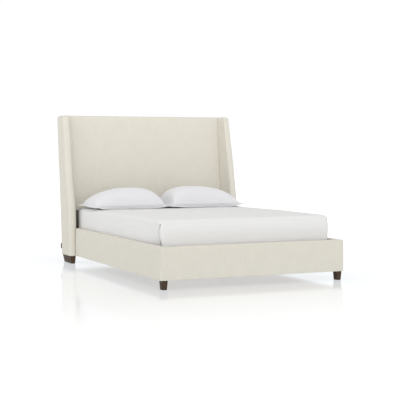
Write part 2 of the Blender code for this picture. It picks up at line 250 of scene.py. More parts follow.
def tube(name, path, radius, finish, sides=8):
    """A cord sewn along a path of points."""
    curve = bpy.data.curves.new(name, "CURVE")
    curve.dimensions = "3D"
    spline = curve.splines.new("POLY")
    spline.points.add(len(path) - 1)
    for target, point in zip(spline.points, path):
        target.co = (*point, 1.0)
    curve.bevel_depth = radius
    curve.bevel_resolution = max(sides // 4, 1)
    curve.use_fill_caps = True
    drawn = stand(name + "_curve", curve)
    mesh = final_mesh(drawn)
    bpy.data.objects.remove(drawn, do_unlink=True)
    bpy.data.curves.remove(curve)
    mesh.name = name
    turn_outwards(mesh)
    mesh.materials.clear()
    mesh.materials.append(finish)
    mesh.shade_smooth()
    return stand(name, mesh)


# ---- shader tools -------------------------------------------------------
def feed(tree, node, inputs):
    """Link or set each of the node's named inputs."""
    for key, value in inputs.items():
        if isinstance(value, bpy.types.NodeSocket):
            tree.links.new(value, node.inputs[key])
        else:
            node.inputs[key].default_value = value


def wire(tree, kind, inputs=None, **settings):
    node = tree.nodes.new(kind)
    settle_in(node, settings)
    feed(tree, node, inputs or {})
    return node


def sums(tree, operation, first, second=0.0):
    return wire(tree, "ShaderNodeMath", {0: first, 1: second}, operation=operation).outputs[0]


def between(tree, value, low, high, source=(0.0, 1.0)):
    """The value carried from its source range to the range low to high."""
    inputs = {0: value, 1: source[0], 2: source[1], 3: low, 4: high}
    return wire(tree, "ShaderNodeMapRange", inputs).outputs[0]


def grouped(tree, group, inputs):
    return wire(tree, "ShaderNodeGroup", inputs, node_tree=group).outputs


def new_group(name, inputs, outputs):
    group = bpy.data.node_groups.new(name, "ShaderNodeTree")
    for label, kind, value in inputs:
        socket = group.interface.new_socket(name=label, in_out="INPUT", socket_type=kind)
        if value is not None:
            socket.default_value = value
    for label, kind in outputs:
        group.interface.new_socket(name=label, in_out="OUTPUT", socket_type=kind)
    return group, group.nodes.new("NodeGroupInput").outputs, group.nodes.new("NodeGroupOutput").inputs


def weave_group():
    """Plain weave: threads over and under, with slubs running both ways."""
    group, given, result = new_group(
        "Plain weave",
        (("Across", "NodeSocketFloat", None), ("Along", "NodeSocketFloat", None),
         ("Thread", "NodeSocketFloat", 0.0015), ("Slub length", "NodeSocketFloat", 12.0),
         ("Slub width", "NodeSocketFloat", 130.0)),
        (("Height", "NodeSocketFloat"), ("Slubs", "NodeSocketFloat")))
    turns = [sums(group, "DIVIDE", given[label], given["Thread"]) for label in ("Across", "Along")]
    waves = [sums(group, "SINE", sums(group, "MULTIPLY", turn, math.pi)) for turn in turns]
    warp, weft = [sums(group, "ABSOLUTE", wave) for wave in waves]
    over = sums(group, "GREATER_THAN", sums(group, "MULTIPLY", *waves), 0.0)
    blend = wire(group, "ShaderNodeMix", {0: over, 2: warp, 3: weft}, data_type="FLOAT")
    group.links.new(blend.outputs[0], result["Height"])
    streaks = []
    for long_way, short_way in (("Across", "Along"), ("Along", "Across")):
        slow = sums(group, "MULTIPLY", given[long_way], given["Slub length"])
        quick = sums(group, "MULTIPLY", given[short_way], given["Slub width"])
        place = wire(group, "ShaderNodeCombineXYZ", {0: slow, 1: quick, 2: float(len(streaks)) * 7.3})
        streak = wire(group, "ShaderNodeTexNoise",
                      {"Vector": place.outputs[0], "Scale": 1.0, "Detail": 3.0})
        streaks.append(streak.outputs[0])
    group.links.new(sums(group, "MULTIPLY", sums(group, "ADD", *streaks), 0.5), result["Slubs"])
    return group


def grain_group():
    """Long wood grain with rings; the long way is the vector's X."""
    group, given, result = new_group(
        "Wood grain",
        (("Vector", "NodeSocketVector", None), ("Fineness", "NodeSocketFloat", 60.0)),
        (("Grain", "NodeSocketFloat"), ("Pores", "NodeSocketFloat")))
    stretched = wire(group, "ShaderNodeMapping", {"Vector": given["Vector"], "Scale": (0.06, 1.0, 1.0)})
    bent = wire(group, "ShaderNodeTexNoise",
                {"Vector": stretched.outputs[0], "Scale": given["Fineness"],
                 "Detail": 4.0, "Distortion": 0.6})
    group.links.new(bent.outputs[0], result["Grain"])
    thin = wire(group, "ShaderNodeMapping", {"Vector": given["Vector"], "Scale": (0.03, 1.0, 1.0)})
    fine = sums(group, "MULTIPLY", given["Fineness"], 9.0)
    pores = wire(group, "ShaderNodeTexNoise", {"Vector": thin.outputs[0], "Scale": fine, "Detail": 2.0})
    group.links.new(pores.outputs[0], result["Pores"])
    return group


WEAVE = weave_group()
GRAIN = grain_group()


def start_material(name, roughness, metallic=0.0, sheen=0.0, specular=0.5):
    material = bpy.data.materials.new(name)
    material.use_nodes = True
    tree = material.node_tree
    shader = tree.nodes["Principled BSDF"]
    feed(tree, shader, {"Roughness": roughness, "Metallic": metallic, "Sheen Weight": sheen,
                        "Sheen Roughness": 0.5, "Specular IOR Level": specular})
    place = wire(tree, "ShaderNodeTexCoord").outputs["Object"]
    return material, tree, shader, place


def add_relief(tree, shader, strength, distance, height):
    raised = wire(tree, "ShaderNodeBump", {"Strength": strength, "Distance": distance, "Height": height})
    feed(tree, shader, {"Normal": raised.outputs[0]})


def ramp(tree, fac, stops):
    node = wire(tree, "ShaderNodeValToRGB", {"Fac": fac})
    elements = node.color_ramp.elements
    while len(elements) < len(stops):
        elements.new(0.5)
    for element, (position, colour) in zip(elements, stops):
        element.position = position
        element.color = (*colour, 1.0)
    return node.outputs["Color"]


def scaled(colour, factor):
    return tuple(min(channel * factor, 1.0) for channel in colour)


def cloth_material(name, colour, thread, contrast, bump, flat=False, sheen=0.15):
    """Woven cloth. Upright faces are woven along z, flat ones along y."""
    material, tree, shader, place = start_material(name, 0.92, sheen=sheen, specular=0.2)
    x, y, z = wire(tree, "ShaderNodeSeparateXYZ", {0: place}).outputs
    across = x if flat else sums(tree, "ADD", x, y)
    along = sums(tree, "ADD", y, z) if flat else z
    weave = grouped(tree, WEAVE, {"Across": across, "Along": along, "Thread": thread})
    clouds = wire(tree, "ShaderNodeTexNoise", {"Vector": place, "Scale": 9.0, "Detail": 4.0})
    tone = sums(tree, "ADD", sums(tree, "MULTIPLY", weave["Slubs"], 0.75),
                sums(tree, "MULTIPLY", clouds.outputs[0], 0.25))
    stops = ((0.30, scaled(colour, 1 - contrast)), (0.50, colour),
             (0.70, scaled(colour, 1 + contrast * 0.7)))
    threads = wire(tree, "ShaderNodeMix", {0: 0.25, 6: ramp(tree, tone, stops), 7: (1, 1, 1, 1)},
                   data_type="RGBA", blend_type="MULTIPLY")
    # Painted shade: the hollows between the threads are darker than their crowns.
    shade = ramp(tree, weave["Height"], ((0.0, (0.72, 0.70, 0.66)), (0.8, (1.0, 1.0, 1.0))))
    feed(tree, threads, {7: shade})
    feed(tree, shader, {"Base Color": threads.outputs[2]})
    height = sums(tree, "ADD", weave["Height"], sums(tree, "MULTIPLY", weave["Slubs"], 1.5))
    add_relief(tree, shader, bump, thread * 0.5, height)
    return material


def make_wood(name, light, dark, turn, roughness, fineness=60.0, specular=0.5):
    """Long grain whose direction is turned to suit the piece."""
    material, tree, shader, place = start_material(name, roughness, specular=specular)
    turned = wire(tree, "ShaderNodeMapping", {"Vector": place, "Rotation": turn})
    grain = grouped(tree, GRAIN, {"Vector": turned.outputs[0], "Fineness": fineness})
    figure = sums(tree, "ADD", sums(tree, "MULTIPLY", grain["Grain"], 0.8),
                  sums(tree, "MULTIPLY", grain["Pores"], 0.2))
    feed(tree, shader, {"Base Color": ramp(tree, figure, ((0.36, dark), (0.62, light))),
                        "Roughness": between(tree, grain["Pores"], roughness - 0.08, roughness + 0.12)})
    add_relief(tree, shader, 0.25, 0.0006, grain["Pores"])
    return material


def speckled(name, colour, roughness, scale, contrast, metallic=0.0, bump=0.15, depth=0.0004):
    """A fine mottled surface, such as zinc plate, moulded nylon or foam."""
    material, tree, shader, place = start_material(name, roughness, metallic=metallic)
    speck = wire(tree, "ShaderNodeTexNoise", {"Vector": place, "Scale": scale, "Detail": 4.0})
    stops = ((0.35, scaled(colour, 1 - contrast)), (0.65, scaled(colour, 1 + contrast)))
    rough = between(tree, speck.outputs[0], roughness - 0.08, roughness + 0.08)
    feed(tree, shader, {"Base Color": ramp(tree, speck.outputs[0], stops), "Roughness": rough})
    add_relief(tree, shader, bump, depth, speck.outputs[0])
    return material


ALONG_X = (0.0, 0.0, 0.0)
ALONG_Y = (0.0, 0.0, math.radians(-90))
ALONG_Z = (0.0, math.radians(90), 0.0)
PINE_LIGHT = (0.70, 0.52, 0.32)
PINE_DARK = (0.47, 0.30, 0.15)

linen = cloth_material("linen", (0.690, 0.661, 0.585), 0.0016, 0.055, 0.30)
# Nearly black cloth: painted shade in the gap between the mattress head and the headboard.
lining_cloth = cloth_material("lining_cloth", (0.150, 0.146, 0.142), 0.0012, 0.05, 0.2)
# The piping cloth is darker than the linen: painted shade, a thin dark line along the wings' inner front
# edges.
piping = cloth_material("piping", (0.590, 0.560, 0.485), 0.0016, 0.055, 0.30)
sheet_cotton = cloth_material("sheet_cotton", (0.765, 0.763, 0.757), 0.0006, 0.010, 0.10,
                              flat=True, sheen=0.1)
sham_cotton = cloth_material("sham_cotton", (0.738, 0.738, 0.760), 0.0006, 0.012, 0.10,
                             flat=True, sheen=0.1)
ticking = cloth_material("ticking", (0.78, 0.78, 0.75), 0.0012, 0.04, 0.25, flat=True)
tag_cloth = cloth_material("tag_cloth", (0.045, 0.045, 0.048), 0.0007, 0.10, 0.25)
# Dark grey seam cord: painted shade in the groove of the fitted sheet's corner seams.
sheet_thread = speckled("sheet_thread", (0.34, 0.34, 0.35), 0.8, 160.0, 0.5)
foam = speckled("foam", (0.80, 0.76, 0.56), 0.95, 500.0, 0.10, bump=0.5, depth=0.001)
pine_x = make_wood("pine_along_x", PINE_LIGHT, PINE_DARK, ALONG_X, 0.62)
pine_y = make_wood("pine_along_y", PINE_LIGHT, PINE_DARK, ALONG_Y, 0.62)
pine_z = make_wood("pine_along_z", PINE_LIGHT, PINE_DARK, ALONG_Z, 0.62)
plywood = make_wood("plywood", (0.62, 0.48, 0.32), (0.50, 0.36, 0.22), ALONG_Z, 0.7, fineness=25.0)
espresso = make_wood("espresso", (0.072, 0.041, 0.024), (0.030, 0.016, 0.009), ALONG_Z, 0.55, 110.0, 0.25)
steel = speckled("steel", (0.55, 0.55, 0.56), 0.32, 180.0, 0.08, metallic=1.0)
nylon = speckled("nylon", (0.035, 0.035, 0.036), 0.5, 700.0, 0.15)

# Light goes a little way into the down behind the shams' cotton.
feed(sham_cotton.node_tree, sham_cotton.node_tree.nodes["Principled BSDF"], {
    "Subsurface Weight": 0.5, "Subsurface Radius": (1.0, 1.0, 1.0), "Subsurface Scale": 0.03})


# ---- headboard panel ----------------------------------------------------
PANEL_ROLL = 0.022                # radius of the panel's top edge
SIDE_ROLL = 0.010                 # radius of its sides, where the wings' seams draw it in
SIDE_FLAP = 0.034                 # cloth turned back beside the wings


def panel_profile(inset, base, hem=False):
    """Points up the panel's front, round its top edge and back along the top: (depth in front, z)."""
    front = PANEL_DEPTH - inset
    top = TOP - inset
    radius = PANEL_ROLL - inset
    upright = [(front, z) for z in np.linspace(base, top - radius, 90, endpoint=False)]
    roll = arc_points((front - radius, top - radius), radius, 0, 90, 8)
    flat = [(depth, top) for depth in np.linspace(front - radius, 0.008, 9)[1:]]
    if not hem:
        return upright + roll + flat
    turned = arc_points((0.006, top - 0.005), 0.005, 90, 180, 4)
    hem_low = back_high.z - 0.012
    down = list(zip(np.linspace(0.0010, 0.0024, 5)[1:], np.linspace(top - 0.005, hem_low, 5)[1:]))
    return upright + roll + flat + turned + down


def panel_layer(name, inset, crown, base, finish, hem=False):
    """The padded front and top of the panel, drawn in beside the wings."""
    half = PANEL_HALF - 0.0004
    edge = half - SIDE_ROLL
    right = [(edge + y, SIDE_ROLL - x) for x, y in arc_points((0.0, 0.0), SIDE_ROLL, 0, 85, 5)[1:]]
    if hem:
        right.append((half + 0.0006, SIDE_FLAP))
    left = [(-x, drop) for x, drop in right[::-1]]
    stations = left + [(x, 0.0) for x in np.linspace(-edge, edge, 150)] + right
    middle = (TOP + base) / 2
    reach = (TOP - base) / 2
    rows = []
    for depth, z in panel_profile(inset, base, hem):
        row = []
        for x, drop in stations:
            fullness = (1 - (x / half) ** 8) * (1 - ((z - middle) / reach) ** 6)
            on_front = clamp((depth - 0.03) / 0.05)
            forward = depth + (crown * fullness - drop) * on_front
            lower = drop * (1 - on_front) * 0.6
            row.append((x, back_plane(z) - forward, z - lower))
        rows.append(row)
    return sheet_grid(name, rows, finish)


def make_panel():
    base = panel_low.z
    cover = panel_layer("headboard_linen", 0.0, 0.006, base, linen, hem=True)
    swell(cover, lambda p, n: 0.0009 * wobble(p, 5.0) + 0.0004 * wobble(p, 17.0, 3.0))
    thicken(cover, CLOTH)
    fit_out(cover, ["headboard_cover"])
    pad = panel_layer("headboard_pad", CLOTH + 0.0015, 0.004, base + 0.002, foam)
    thicken(pad, 0.036)
    fit_out(pad, ["headboard_foam"])
    for name, side in SIDES.items():
        x = side * (PANEL_HALF - 0.0025)
        path = [(x, back_plane(z) - depth + 0.0045, z - 0.002)
                for depth, z in panel_profile(0.0, base)[::2]]
        fit_out(tube("panel_welt_" + name, path, SEAM_CORD, linen))


def make_back_panel():
    """Linen tacked over the open back, a little slack between its edges."""
    low, high = back_low, back_high
    rows = []
    for z in np.linspace(low.z, high.z, 70):
        row = []
        for x in np.linspace(high.x, low.x, 90):
            edge = min(x - low.x, high.x - x, z - low.z, high.z - z)
            settle = 1 - math.exp(-edge / 0.03)
            slack = settle * (-0.0006 + 0.0004 * wobble((x, 0.0, z), 4.0, 9.0))
            row.append((x, back_plane(z) + slack, z))
        rows.append(row)
    lining = sheet_grid("back_linen", rows, linen)
    thicken(lining, CLOTH * 0.7)
    fit_out(lining, ["headboard_back_panel"])


def make_head_gap_shade():
    """Dark non-woven cloth on the headboard where the mattress hides it; its dark colour is painted shade
    for the gap behind the mattress head.
    """
    rows = []
    depth = PANEL_DEPTH + 0.0095
    half = PANEL_HALF - 0.004
    for z in np.linspace(panel_low.z + 0.004, sheet_high.z - 0.030, 24):
        rows.append([(x, back_plane(z) - depth - 0.0004 * wobble((x, 0.0, z), 9.0, 2.0), z)
                     for x in np.linspace(-half, half, 60)])
    lining = sheet_grid("head_lining", rows, lining_cloth)
    thicken(lining, 0.0010)
    fit_out(lining)


# ---- wings --------------------------------------------------------------
WING_CORNER = 0.024               # plan radius of a wing's corners
WING_CROWN = 0.027                # height of its rolled top
WING_FLARE = 0.009                # its front edge leans out this much at elbow height
WING_SWELL = 0.013                # and its padding bulges in this much at the panel


def spread(side, x, y, z):
    """The padded wing leans outwards at the front and swells inwards where it meets the panel."""
    front = wing_front(z)
    panel = back_plane(z) - PANEL_DEPTH
    along = clamp((y - front) / (panel - front))
    flare = WING_FLARE * hump(z, 0.80, 0.30) * (1 - along)
    rise = clamp((z - 0.50) / 0.10)
    inner = flare - WING_SWELL * along ** 1.5 * rise
    outer = flare + CLOTH
    across = clamp((abs(x) - WING_INNER) / (WING_OUTER - WING_INNER))
    return x + side * (inner + (outer - inner) * across)


def wing_rings(side, inset, bottom):
    """Rings up a wing's sewn sleeve: a flat padded shape with a rolled top."""
    corner = WING_CORNER - inset * 0.8
    crown = WING_CROWN - inset
    top = TOP - inset
    levels = [(z, 0.0) for z in np.linspace(bottom, top - crown, 92, endpoint=False)]
    levels += [(z, crown - width) for width, z in arc_points((0.0, top - crown), crown, 0, 86, 10)]
    rings = []
    for z, shrink in levels:
        margin = inset + shrink
        x_range = sorted((side * (WING_INNER + inset + shrink * 0.8), side * (WING_OUTER - inset - shrink)))
        y_range = (wing_front(z) + margin, back_plane(z) - margin)
        radius = min(max(corner - shrink * 0.6, 0.004), (x_range[1] - x_range[0]) / 2 - 0.0015)
        ring = rounded_ring(x_range, y_range, z, radius, (4, 26, 6))
        rings.append([(spread(side, x, y, z), y, z) for x, y, z in ring])
    return rings


def make_wings():
    for name, side in SIDES.items():
        rings = wing_rings(side, 0.0, wing_low.z)
        cover = skin("wing_linen_" + name, rings, linen, cap_start=False)

        def fullness(p, n):
            outside = max(side * n.x, 0.0)
            across = (p.y - wing_front(p.z)) / (back_plane(p.z) - wing_front(p.z))
            belly = math.sin(math.pi * clamp(across))
            ends = min((p.z - wing_low.z) / 0.10, (TOP - p.z) / 0.10, 1.0)
            ripple = 0.0007 * wobble(p, 7.0, side) + 0.0003 * wobble(p, 19.0, side)
            return 0.0030 * outside * belly * max(ends, 0.0) + ripple * (1 - max(-side * n.x, 0))

        swell(cover, fullness)
        thicken(cover, CLOTH)
        fit_out(cover, ["wing_cover_" + name])
        pad = skin("wing_pad_" + name, wing_rings(side, CLOTH + 0.0014, wing_low.z + 0.001), foam)
        fit_out(pad, ["wing_foam_" + name])
        # A welt cord along each wing's inner front edge, in the darker piping cloth that paints a shade
        # line there.
        seam = [max(ring, key=lambda p: -side * 0.85 * p[0] - 0.52 * p[1]) for ring in rings[2:-2]]
        path = [(x - side * 0.0006, y - 0.0004, z) for x, y, z in seam if z > rail_high.z]
        fit_out(tube("wing_welt_" + name, path, 0.0028, piping))


# ---- rails and footboard ------------------------------------------------
CORNER_ROLL = 0.013               # plan radius of the frame's padded foot corners
FACE_CROWN = 0.0022               # the padding bulges this much in the middle of a rail's face


def corner_depth(t):
    """How far the padded corner is rolled back, a distance t along the rail from its end."""
    if t >= CORNER_ROLL:
        return 0.0
    return CORNER_ROLL - math.sqrt(CORNER_ROLL ** 2 - (CORNER_ROLL - max(t, 0.0)) ** 2)


def rolled(depth, t):
    return depth + corner_depth(t) * (1 - depth / RAIL_THICKNESS)


def mitre(depth, clearance):
    """The distance along the rail at which a layer at this depth meets the mitre."""
    low, high = 0.0, RAIL_THICKNESS + 0.01
    for _ in range(40):
        middle = (low + high) / 2
        if rolled(depth, middle) + clearance > middle:
            low = middle
        else:
            high = middle
    return low


def cover_profile():
    """Closed section of a rail's linen as (depth, z): up the inside, over, down the outside and under."""
    bottom, top, far = rail_low.z, rail_high.z, RAIL_THICKNESS
    under = far - CLOTH - 0.0006
    lip = top - 0.060
    outer = [(far, z) for z in np.linspace(lip, top - 0.006, 5)[:-1]]
    outer += arc_points((far - 0.006, top - 0.006), 0.006, 0, 90, 4)
    outer += [(d, top) for d in np.linspace(far - 0.006, 0.012, 6)[1:-1]]
    outer += arc_points((0.012, top - 0.012), 0.012, 90, 180, 7)
    face = np.linspace(top - 0.012, bottom + 0.006, 22)[1:-1]
    height = top - bottom
    crowned = [(-FACE_CROWN * math.sin(math.pi * (z - bottom) / height), z) for z in face]
    outer += crowned
    outer += arc_points((0.006, bottom + 0.006), 0.006, 180, 270, 4)
    outer += [(d, bottom) for d in np.linspace(0.006, under, 5)[1:]]
    inner = [(d, bottom + CLOTH) for d in np.linspace(under, 0.006, 5)[:-1]]
    inner += arc_points((0.006, bottom + 0.006), 0.004, 270, 180, 4)
    inner += [(CLOTH + depth, z) for depth, z in crowned[::-1]]
    inner += arc_points((0.012, top - 0.012), 0.010, 180, 90, 7)
    inner += [(d, top - CLOTH) for d in np.linspace(0.012, far - 0.006, 6)[1:-1]]
    inner += arc_points((far - 0.006, top - 0.006), 0.004, 90, 0, 4)
    inner += [(far - CLOTH, z) for z in np.linspace(top - 0.006, lip, 5)[1:]]
    return outer + inner


def pad_profile():
    """Closed section of a rail's foam: an outer slab turned over the board's top edge."""
    near = CLOTH + 0.0005
    bottom, top = rail_low.z + near, rail_high.z - near
    far = RAIL_THICKNESS - CLOTH - 0.0006
    points = [(near, z) for z in np.linspace(bottom, top - 0.010, 8)]
    points += arc_points((near + 0.010, top - 0.010), 0.010, 180, 90, 5)[1:]
    board_top, board_face = top - 0.0055, near + 0.0115
    return points + [(far, top), (far, board_top), (board_face, board_top), (board_face, bottom)]


def rail_layer(name, profile, place, length, mitred, finish):
    """Carry a section along a rail; each mitred end follows the rolled corner."""
    shares = np.concatenate([
        np.linspace(0.0, 0.014, 13)[:-1], np.linspace(0.014, 0.986, 110), np.linspace(0.986, 1.0, 13)[1:]])
    starts = [mitre(d, 0.0002) if mitred[0] else 0.0 for d, z in profile]
    ends = [length - (mitre(d, 0.0002) if mitred[1] else 0.0) for d, z in profile]
    rings = []
    for share in shares:
        ring = []
        for (depth, z), start, end in zip(profile, starts, ends):
            t = start + (end - start) * share
            near_end = min(t if mitred[0] else 1.0, length - t if mitred[1] else 1.0)
            ring.append(place(rolled(depth, near_end), t, z))
        rings.append(ring)
    return skin(name, rings, finish)


def make_rails():
    def dress(label, place, length, mitred, nodes):
        cover = rail_layer(label + "_linen", cover_profile(), place, length, mitred, linen)
        swell(cover, lambda p, n: 0.0007 * wobble(p, 6.0, 2.0) * (1 - abs(n.z)))
        fit_out(cover, [nodes[0]])
        pad = rail_layer(label + "_pad", pad_profile(), place, length, mitred, foam)
        fit_out(pad, [nodes[1]])

    for name, side in SIDES.items():
        length = rail_high.y - FOOT_Y

        def along_side(depth, t, z, side=side):
            return (side * (RAIL_OUTER - depth), FOOT_Y + t, z)

        nodes = ("rail_cover_" + name, "rail_foam_" + name)
        dress("rail_" + name, along_side, length, (True, False), nodes)

    def across_foot(depth, t, z):
        return (-RAIL_OUTER + t, FOOT_Y + depth, z)

    dress("footboard", across_foot, 2 * RAIL_OUTER, (True, True), ("footboard_cover", "footboard_foam"))


def make_foot_deck():
    """A linen-covered strip closes the space between the footboard and the mattress."""
    inner_y = FOOT_Y + RAIL_THICKNESS + 0.001
    half = RAIL_OUTER - RAIL_THICKNESS - 0.001
    top = rail_high.z - 0.006
    rings = []
    for z, shrink in ((top - 0.012, 0.0), (top - 0.003, 0.0), (top - 0.001, 0.001), (top, 0.003)):
        x_range = (shrink - half, half - shrink)
        y_range = (inner_y + shrink, sheet_low.y - 0.024 - shrink)
        rings.append(rounded_ring(x_range, y_range, z, 0.004, (60, 4, 3)))
    fit_out(skin("foot_deck", rings, linen))


# ---- feet ---------------------------------------------------------------
def make_feet():
    """Tapered blocks of stained wood with eased edges, well worn round on the wide ones."""
    for kind, edge in (("head_foot", 0.0070), ("foot_leg", 0.0030)):
        for name in SIDES:
            node = kind + "_" + name
            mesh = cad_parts[node].data.copy()
            work = bmesh.new()
            work.from_mesh(mesh)
            bmesh.ops.remove_doubles(work, verts=work.verts, dist=0.00001)
            bmesh.ops.dissolve_limit(work, angle_limit=math.radians(4), verts=work.verts, edges=work.edges)
            work.to_mesh(mesh)
            work.free()
            mesh.materials.clear()
            mesh.materials.append(espresso)
            block = stand("wood_" + node, mesh)
            mesh.name = block.name
            soften_edges(block, edge)
            fit_out(block, [node])


# ---- mattress and fitted sheet ------------------------------------------
CORNER = 0.038                    # plan radius of the mattress's corners
EDGE_ROLL = 0.034                 # radius of the mattress's top edge
EDGE_DROP = 0.003                 # its top is this much lower at the edges than in the middle
FOOT_RISE = 0.009                 # its top stands this much higher towards the foot
FOOT_BELLY = 0.018                # its foot end bulges out this much above the footboard


def top_height(inward):
    """How high the made bed is, this far in from the nearest edge."""
    if inward < EDGE_ROLL:
        rise = math.sqrt(max(EDGE_ROLL ** 2 - (EDGE_ROLL - max(inward, 0.0)) ** 2, 0.0))
        return sheet_high.z - EDGE_DROP - EDGE_ROLL + rise
    share = min((inward - EDGE_ROLL) / (sheet_high.x - EDGE_ROLL), 1.0)
    return sheet_high.z - EDGE_DROP * (1 - share) ** 3


def bed_top(x, y):
    return top_height(min(sheet_high.x - abs(x), y - sheet_low.y, sheet_high.y - y))


def mattress_shape(name, inset, bottom, finish, sheet):
    """Rings up the mattress's side, over its rolled edge and in to the middle of its top."""
    low, high = sheet_low, sheet_high
    half = high.x - inset
    shoulder = high.z - EDGE_DROP - EDGE_ROLL
    levels = [(z, 0.0) for z in np.linspace(bottom, shoulder, 44, endpoint=False)]
    for step in range(12):
        angle = math.radians(82) * step / 11
        shrink = EDGE_ROLL * (1 - math.cos(angle))
        levels.append((top_height(shrink) - inset, shrink))
    reach = half - 0.012
    for share in np.linspace(0.0, 1.0, 36)[1:]:
        shrink = EDGE_ROLL + (reach - EDGE_ROLL) * share
        levels.append((top_height(shrink) - inset, shrink))
    rings = []
    for z, shrink in levels:
        radius = max(CORNER - inset - shrink * 0.25, 0.004)
        radius = min(radius, half - shrink - 0.001)
        x_range = (shrink - half, half - shrink)
        y_range = (low.y + inset + shrink, high.y - inset - shrink)
        rings.append(rounded_ring(x_range, y_range, z, radius, (70, 92, 14)))
    return skin(name, rings, finish, cap_start=not sheet)


def make_mattress():
    rail_top = rail_high.z

    def tuck(p, n):
        """The foot end stands a little proud, with its corners drawn in below by the elastic."""
        below = clamp((rail_top + 0.120 - p.z) / 0.120)
        near = math.exp(-max(p.y - sheet_low.y, 0.0) / 0.10)
        drawn_in = (0.011 + 0.042 * below ** 1.3) * near * (1 - max(-n.y, 0.0) ** 3) * (1 - abs(n.z))
        towards_foot = clamp((0.45 - p.y) / 0.9)
        return FOOT_RISE * towards_foot ** 2 * (3 - 2 * towards_foot) * max(n.z, 0.0) - drawn_in

    bare = mattress_shape("bare_mattress", 0.006, corners("mattress")[0].z, ticking, False)
    swell(bare, tuck)
    fit_out(bare, ["mattress"])

    sheet = mattress_shape("fitted_sheet_cotton", 0.0, sheet_low.z, sheet_cotton, True)
    corner_x, corner_y = sheet_high.x - CORNER, sheet_low.y + CORNER

    def drape(p, n):
        """The sheet's own folds: bulging at the foot, pulled from the corners, slack on top."""
        upright = 1 - abs(n.z)
        foot_end = max(-n.y, 0.0)
        above = max(p.z - rail_top - 0.085, 0.0) / 0.085
        belly = foot_end * (FOOT_BELLY - 0.020 * above * above)
        near_foot = clamp((-0.2 - p.y) / 0.6)
        belly -= (1 - foot_end) * upright * near_foot * (0.001 + 0.004 * above * above)
        belly *= 0.92 + 0.2 * wobble((p.x, p.y, 0.0), 2.2, 5.0)
        ripple = 0.0014 * wobble((p.x, p.y, p.z * 3.0), 9.0, 1.0)
        near = min(abs(abs(p.x) - sheet_high.x), 0.3) + min(p.y - sheet_low.y, 0.3)
        pull = math.exp(-near / 0.14) * 0.0025 * math.sin(70.0 * (abs(p.x) - (p.y - sheet_low.y)))
        round_corner = math.degrees(math.atan2(corner_y - p.y, abs(p.x) - corner_x))
        beside = 0.0
        if abs(p.x) > corner_x and p.y < corner_y:
            beside = 0.0030 * hump(round_corner, 15, 12) - 0.0050 * hump(round_corner, 45, 12)
        on_top = max(n.z, 0.0)
        inward = min(sheet_high.x - abs(p.x), p.y - sheet_low.y, sheet_high.y - p.y)
        settle = clamp(inward / 0.15)
        broad = 0.0026 * wobble((p.x, p.y, 0.0), 3.0, 8.0)
        folds = 0.0012 * wobble((p.x * 3.0, p.y * 0.7, 0.0), 6.0, 4.0)
        belly += tuck(p, n) - 0.0060 * foot_end * hump(p.z, sheet_high.z - 0.030, 0.007)
        return belly + (ripple + beside) * upright + pull * on_top + (broad + folds) * on_top * settle

    swell(sheet, drape)
    thicken(sheet, 0.0014)
    fit_out(sheet, ["fitted_sheet"])
    # Corner seam cords in the dark grey cloth, which paints the seams' shade.
    seams = []
    for name, side in SIDES.items():
        path = []
        for z in np.linspace(sheet_high.z - 0.022, rail_top - 0.010, 26):
            round_end = 0.045 * ((sheet_high.z - z) / 0.20) ** 1.3
            angle = max(math.pi / 4 - round_end / CORNER, 0.0)
            further = max(round_end - CORNER * math.pi / 4, 0.0)
            out = Vector((side * math.cos(angle), -math.sin(angle), 0.0))
            start = Vector((side * corner_x, corner_y + further, z)) + out * 0.2
            path.append(sheet.ray_cast(start, -out)[1] + out * 0.0004)
        seams.append(tube("sheet_seam_" + name, path, SEAM_CORD, sheet_thread))
        fit_out(seams[-1])


# ---- pillows ------------------------------------------------------------
FLANGE = 0.045                    # width of the flat border round a sham
SEAM_HEIGHT = 0.034               # the seam inside it stands this high above the bed
THREADS = (62, 38)                # cloth squares along and across each panel


def panel_quads(numbers, face):
    """The squares of one panel, wound so that the upper faces up and the lower down."""
    nx, ny = THREADS
    quads = [(numbers[i, j], numbers[i + 1, j], numbers[i + 1, j + 1], numbers[i, j + 1])
             for j in range(ny) for i in range(nx)]
    return [quad[::face] for quad in quads]


def pillow_blank(name, half_x, half_y):
    """Two panels sewn round their edge, hardly filled yet; also each panel's point numbers."""
    nx, ny = THREADS
    panels = {1: {}, -1: {}}
    points = []
    faces = []
    for face, numbers in panels.items():
        for j in range(ny + 1):
            for i in range(nx + 1):
                on_edge = i in (0, nx) or j in (0, ny)
                if on_edge and face == -1:
                    numbers[i, j] = panels[1][i, j]
                    continue
                u, v = 2 * i / nx - 1, 2 * j / ny - 1
                lift = 0.0 if on_edge else 0.004 + 0.022 * (1 - u * u) * (1 - v * v)
                numbers[i, j] = len(points)
                points.append((u * half_x, v * half_y, face * lift))
        faces += panel_quads(numbers, face)
    return piece_from(name, points, faces, sham_cotton), panels


def fill_with_down(piece, frames, pressure):
    """Cloth simulation: the case is blown up by its filling."""
    cloth = piece.modifiers.new("Filling", "CLOTH")
    settle_in(cloth.settings, {
        "quality": 7, "mass": 0.25, "tension_stiffness": 18, "compression_stiffness": 10,
        "shear_stiffness": 6, "bending_stiffness": 0.35, "air_damping": 2.0,
        "use_pressure": True, "uniform_pressure_force": pressure})
    cloth.settings.effector_weights.gravity = 0.0
    settle_in(cloth.point_cache, {"frame_start": 1, "frame_end": frames})
    for number in range(1, frames + 1):
        scene.frame_set(number)
    apply_modifiers(piece)
    scene.frame_set(1)


def even_out(points, threads):
    """Each point moves halfway to the middle of its neighbours: the down behind it is soft."""
    total = np.zeros_like(points)
    count = np.zeros((len(points), 1))
    for here, there in (threads.T, threads.T[::-1]):
        np.add.at(total, here, points[there])
        np.add.at(count, here, 1.0)
    return (points + total / count) / 2


